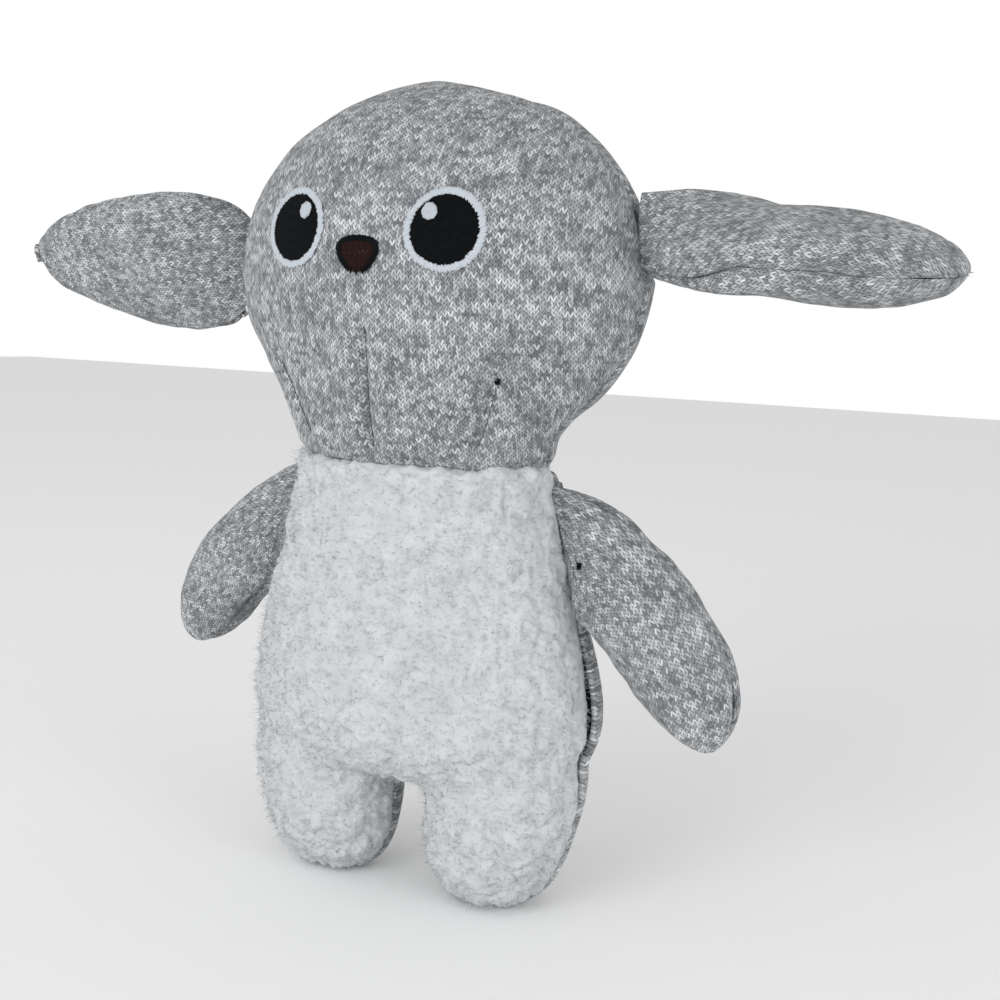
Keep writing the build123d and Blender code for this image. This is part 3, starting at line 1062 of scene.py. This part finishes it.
rings = []
for height in np.linspace(seat_z, belly_z, 12, endpoint=False):
    share = (belly_z - height) / (belly_z - seat_z)
    round_in = max(1 - share**seat_power, 0.0004) ** (1 / seat_power)
    rings.append((0, height, belly_half_width * round_in, belly_half_depth * round_in))
for share in np.linspace(0, 1, 16):
    narrow = share**waist_power
    rings.append((
        0, belly_z + share * (neck_z - belly_z),
        belly_half_width - (belly_half_width - neck_half_width) * narrow,
        belly_half_depth - (belly_half_depth - neck_half_depth) * narrow,
    ))
trunk = stacked("trunk", rings)
leg_shape = ((0, 0.42), (0.1, 0.62), (0.3, 0.82), (0.6, 0.95), (1, 1), (1.45, 0.86), (1.8, 0.6))
legs = []
for side in (-1, 1):
    rings = []
    for share in np.linspace(0, leg_reach, 24):
        size = float(profile(np.array([share]), leg_shape)[0])
        middle = side * (foot_spread + leg_splay * share) * mm
        rings.append((middle, share * leg_high, leg_half * size, leg_depth * size))
    legs.append(stacked("leg", rings))
pick(trunk)
for leg in legs:
    leg.select_set(True)
bpy.ops.object.join()
trunk.name = "trunk_form"
apply_modifier(trunk, "REMESH", mode="VOXEL", voxel_size=1.6 * mm)
apply_modifier(trunk, "SMOOTH", factor=0.8, iterations=12)
print("trunk form:", len(trunk.data.polygons), "faces")

# %% [markdown]
# The form becomes the pieces: a front and a back, each a copy cut along the side seams. The seam
# draws the cloth in. At the neck the knit turns in, and the fleece stands out over the head's edge.


# %% Parting the form
belly_over_neck = 2.6 * mm
back_over_neck = 0.4 * mm
side_curve = 1.12             # the cloth is wider than its outline by about this much


def half_form(name, facing):
    """The front (1) or back (-1) half of the trunk, open along the side seams and at the neck."""
    piece = trunk.copy()
    piece.data = trunk.data.copy()
    piece.name = name
    bpy.context.scene.collection.objects.link(piece)
    top = neck_z + (belly_over_neck if facing > 0 else back_over_neck)
    cut = bpy.ops.mesh.bisect
    return edit_all(
        piece,
        (cut, {"plane_co": (0, 0, 0), "plane_no": (0, facing, 0), "clear_outer": True}),
        (cut, {"plane_co": (0, 0, top), "plane_no": (0, 0, 1), "clear_outer": True}),
    )


def lay_flat_map(piece):
    """The cut of a panel is close to its outline seen from the front."""
    points = points_of(piece.data)
    write_cut_map(piece.data, np.stack([points[:, 0] * side_curve, points[:, 2]], axis=1))


def draw_in(points, normals, seam_depth, seam_width, neck_depth, neck_width):
    """Pulls the cloth in along the side seams and at the neck."""
    pucker = 1 + 0.35 * bumps(points, 5 * mm, 31.0)
    pull = seam_depth * pucker * np.exp(-((points[:, 1] / seam_width) ** 2))
    pull += neck_depth * pucker * np.exp(-(((neck_z - points[:, 2]) / neck_width) ** 2))
    return points - normals * pull[:, None]


body_back = half_form("body_back", -1)
mesh = body_back.data
points = points_of(mesh)
points = draw_in(points, normals_of(mesh), 0.7 * mm, 1.4 * mm, 1.2 * mm, 1.6 * mm)
swell = 0.8 * mm * bumps(points, 22 * mm, 9.0)
swell += 2.2 * mm * np.exp(-(((points[:, 2] - 62 * mm) / (26 * mm)) ** 2))
points += normals_of(mesh) * swell[:, None]
set_points(mesh, points)
lay_flat_map(body_back)
thicken(body_back, knit_thick, inside_trunk)
wear(body_back, heather_knit, "heather_knit", ["body_back_panel"])

# %% [markdown]
# Sherpa pile stands about four millimetres off its backing and is teased into soft clumps with
# shallow creases between them. The clumps are pushed out of a fine mesh. Then thousands of short
# curved fibres are planted over it, which soften its edge against the light.

# %% Sherpa belly
belly = half_form("belly", 1)
apply_modifier(belly, "SUBSURF", levels=1, render_levels=1)
mesh = belly.data
points = points_of(mesh)
normals = normals_of(mesh)
points = draw_in(points, normals, 0.5 * mm, 1.6 * mm, -2.4 * mm, 5.0 * mm)


def clumps(points, size, seed):
    """Rounded clumps with creases between them: near 1 in a clump and 0 in a crease."""
    shift = Vector((seed, seed, seed))
    heights = np.empty(len(points))
    for number, point in enumerate(points):
        near, _ = noise.voronoi(Vector(point) / size + shift)
        heights[number] = near[1] - near[0]
    return np.clip(heights * 1.6, 0, 1) ** 0.6


sway = np.stack([bumps(points, 5 * mm, 50.0 + 9 * k) for k in range(3)], axis=1)
bent = points + sway * 2.2 * mm
pile = 1.5 * mm * clumps(bent, 8.5 * mm, 4.0) + 0.7 * mm * clumps(bent, 3.6 * mm, 8.0)
pile += 0.4 * mm * bumps(points, 1.7 * mm, 2.0) + 1.0 * mm * bumps(points, 24 * mm, 6.0)
edge_fade = 0.35 + 0.65 * soft_step(np.abs(points[:, 1]), 0.0, 4 * mm)
points = points + normals * ((pile - 1.9 * mm) * edge_fade)[:, None]
points[:, 2] = np.maximum(points[:, 2], 0.3 * mm)
set_points(mesh, points)
lay_flat_map(belly)
surface_points, surface_normals = points.copy(), normals_of(mesh).copy()
thicken(belly, fleece_thick, inside_trunk)
wear(belly, sherpa, "sherpa_fleece", ["belly_panel"])

# %% [markdown]
# The fibres are one thin, curved, three-sided strand copied over the pile. Each leans and curls its
# own way.


# %% Pile fibres
def planted(name, roots, directions, curls, length, width):
    """Tapering curved fibres, each three-sided with two lengths and a point."""
    count = len(roots)
    side = np.cross(directions, curls)
    side /= np.linalg.norm(side, axis=1)[:, None] + 1e-9
    other = np.cross(side, directions)
    points = np.empty((count, 7, 3))
    for level, (share, thick) in enumerate(((0.0, 1.0), (0.55, 0.7))):
        middle = roots + directions * (length * share)[:, None] + curls * (length * share**2 * 0.5)[:, None]
        for corner in range(3):
            angle = corner * 2 * math.pi / 3
            off = side * math.cos(angle) + other * math.sin(angle)
            points[:, level * 3 + corner] = middle + off * (width * thick)
    points[:, 6] = roots + directions * (length * 0.95)[:, None] + curls * (length * 0.6)[:, None]
    faces = []
    for number in range(count):
        k = number * 7
        for a, b in ((0, 1), (1, 2), (2, 0)):
            faces.append((k + a, k + b, k + 3 + b, k + 3 + a))
            faces.append((k + 3 + a, k + 3 + b, k + 6))
        faces.append((k + 2, k + 1, k))
    return new_piece(name, points, faces)


fibre_count = 20000
chosen = dice.integers(0, len(surface_points), fibre_count)
roots = surface_points[chosen] - surface_normals[chosen] * 0.4 * mm
directions = surface_normals[chosen] + dice.normal(0, 0.55, (fibre_count, 3))
directions /= np.linalg.norm(directions, axis=1)[:, None]
curls = dice.normal(0, 1.0, (fibre_count, 3))
length = dice.uniform(1.0, 2.4, fibre_count) * mm
pile_fibres = planted("pile_fibres", roots, directions, curls, length, 0.09 * mm)
pile_fibres.data.materials.append(sherpa)
print("pile fibres:", len(pile_fibres.data.polygons), "faces")

# %% [markdown]
# ## Threads and stuffing
#
# The seams are lockstitch in grey thread. It shows only as small stitches deep in each crease, but
# it is what holds the toy together. The stuffing is loose white fibre that fills every bag.


# %% Seam threads
stitch_gap = 0.04             # share of a stitch left open at each of its ends


def stitch_ends(places):
    """Starts and ends of the stitches that run from place to place."""
    run = places[1:] - places[:-1]
    return places[:-1] + run * stitch_gap, places[1:] - run * stitch_gap


def seam_run(name, path, outward, stitch=2.4 * mm, width=0.7 * mm):
    """Stitches end to end along a path."""
    path = np.array(path)
    steps = np.linalg.norm(np.diff(path, axis=0), axis=1)
    along = np.concatenate([[0.0], np.cumsum(steps)])
    count = max(2, int(along[-1] / stitch))
    marks = np.linspace(0, along[-1], count + 1)
    places = np.stack([np.interp(marks, along, path[:, k]) for k in range(3)], axis=1)
    starts, ends = stitch_ends(places)
    normals = np.array([outward(place) for place in (starts + ends) / 2])
    return sewn(name, starts, ends, normals, width, width)


def away_from(centre):
    def outward(place):
        normal = place - np.array(centre)
        normal[1] = 0
        return normal / np.linalg.norm(normal)
    return outward


shares = 1 - (1 - np.linspace(0.03, 1, 80)) ** 1.6
left_side = head_surface(np.full(80, math.pi / 2), shares, 1.7 * mm)
right_side = head_surface(np.full(80, -math.pi / 2), shares, 1.7 * mm)
head_seam = seam_run("head_seam", np.concatenate([left_side, right_side[::-1]]), away_from(inside_head))
wear(head_seam, seam_thread, "seam_thread", ["head_seam_thread"])

turns = np.linspace(0, 2 * math.pi, 97)
inset = 3.4 * mm
neck_path = np.stack([
    (neck_half_width - inset) * np.sin(turns), -(neck_half_depth - inset) * np.cos(turns),
    np.full(97, neck_z - 0.2 * mm),
], axis=1)
neck_seam = seam_run("neck_seam", neck_path, lambda place: np.array((0, 0, 1.0)))
wear(neck_seam, seam_thread, "seam_thread", ["neck_seam_thread"])

body_starts, body_ends, body_normals = [], [], []
trunk_surface = surface_of(trunk)
for side in (-1, 1):
    heights = np.linspace(neck_z - 4 * mm, 6 * mm, 52)
    path = []
    for height in heights:
        hit, _, _, _ = trunk_surface.ray_cast(Vector((side * 0.2, 0, height)), Vector((-side, 0, 0)))
        path.append(np.array(hit) - np.array((side * 1.5 * mm, 0, 0)))
    for height in np.linspace(6 * mm, 30 * mm, 12):
        hit, _, _, _ = trunk_surface.ray_cast(Vector((0, 0, height)), Vector((side, 0, 0)))
        path.append(np.array(hit) + np.array((side * 1.2 * mm, 0, 0)))
    starts, ends = stitch_ends(np.array(path))
    body_starts += list(starts)
    body_ends += list(ends)
    body_normals += [np.array((0, 1.0, 0))] * (len(path) - 1)
body_seam = sewn("body_seam", body_starts, body_ends, body_normals, 0.7 * mm, 0.7 * mm)
wear(body_seam, seam_thread, "seam_thread", ["body_seam_thread"])


# %% Stuffing
def head_fill_place(u, v):
    return head_surface(u * math.pi, 0.02 + v * 0.98, 6 * mm)


head_fill = laid_panel("head_fill", 48, 40, head_fill_place)
close_points(head_fill, 0.05 * mm)
head_fill.data.shade_smooth()
wear(head_fill, fibre_fill, "fibre_fill", ["head_stuffing"])

body_fill = trunk
body_fill.name = "body_fill"
apply_modifier(body_fill, "REMESH", mode="VOXEL", voxel_size=4 * mm)
mesh = body_fill.data
points = points_of(mesh)
set_points(mesh, points - normals_of(mesh) * 7.5 * mm)
mesh.shade_smooth()
wear(body_fill, fibre_fill, "fibre_fill", ["body_stuffing"])

for piece in (belly, body_back, body_fill, pile_fibres, body_seam, neck_seam):
    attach(piece, "torso")
for piece in (head_front, head_back, head_fill, head_seam, *tuck_pieces):
    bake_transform(piece)

# %% [markdown]
# ## Studio
#
# A plain pale floor, two broad soft lights and a white room that dims towards the zenith show soft
# goods without hard shadows.

# %% Floor, light and camera
deselect()
bpy.ops.mesh.primitive_plane_add(size=6)
floor = bpy.context.object
floor.name = "floor"
floor_bench = Bench("floor", roughness=0.9)
floor.data.materials.append(floor_bench.finish(grey(255)))


def soft_light(name, place, aim, size, power):
    lamp = bpy.data.lights.new(name, "AREA")
    lamp.shape, lamp.size, lamp.energy = "DISK", size, power
    light = bpy.data.objects.new(name, lamp)
    bpy.context.scene.collection.objects.link(light)
    light.location = place
    light.rotation_euler = (Vector(aim) - Vector(place)).to_track_quat("-Z", "Y").to_euler()
    return light


soft_light("key", (-0.35, -1.4, 0.45), (0, 0, 0.12), 0.9, 9)
soft_light("fill", (1.3, -0.5, 0.3), (0, 0, 0.12), 0.8, 4)

view_azimuth = 27.5
view_elevation = 6.5
view_roll = 2.4
view_distance = 0.42
view_target = Vector((0, 0, 0.125))
picture_width = 1000
scale_at_target = 3330.0


def add_camera():
    turn_round, rise = math.radians(view_azimuth), math.radians(view_elevation)
    back = Vector((
        math.sin(turn_round) * math.cos(rise), -math.cos(turn_round) * math.cos(rise), math.sin(rise)))
    lens = bpy.data.cameras.new("camera")
    camera = bpy.data.objects.new("camera", lens)
    bpy.context.scene.collection.objects.link(camera)
    turn = (-back).to_track_quat("-Z", "Y").to_matrix().to_4x4()
    roll = Matrix.Rotation(math.radians(view_roll), 4, "Z")
    camera.matrix_world = Matrix.Translation(view_target + back * view_distance) @ turn @ roll
    lens.sensor_width = 36
    lens.lens = lens.sensor_width * scale_at_target * view_distance / picture_width
    lens.shift_x, lens.shift_y = 0.073, -0.022
    lens.clip_start, lens.clip_end = 0.01, 20
    bpy.context.scene.camera = camera


add_camera()
scene = bpy.context.scene
scene.view_settings.view_transform = "Standard"
world = bpy.data.worlds.new("studio")
scene.world = world
world.use_nodes = True
room = world.node_tree
direction = room.nodes.new("ShaderNodeTexCoord")
height = room.nodes.new("ShaderNodeSeparateXYZ")
dimmer = room.nodes.new("ShaderNodeMapRange")
dimmer.inputs["From Min"].default_value, dimmer.inputs["From Max"].default_value = 0.25, 0.8
dimmer.inputs["To Min"].default_value, dimmer.inputs["To Max"].default_value = 1.0, 0.55
room.links.new(direction.outputs["Generated"], height.inputs[0])
room.links.new(height.outputs["Z"], dimmer.inputs["Value"])
room.links.new(dimmer.outputs["Result"], room.nodes["Background"].inputs["Strength"])
room.nodes["Background"].inputs["Color"].default_value = (1, 1, 1, 1)
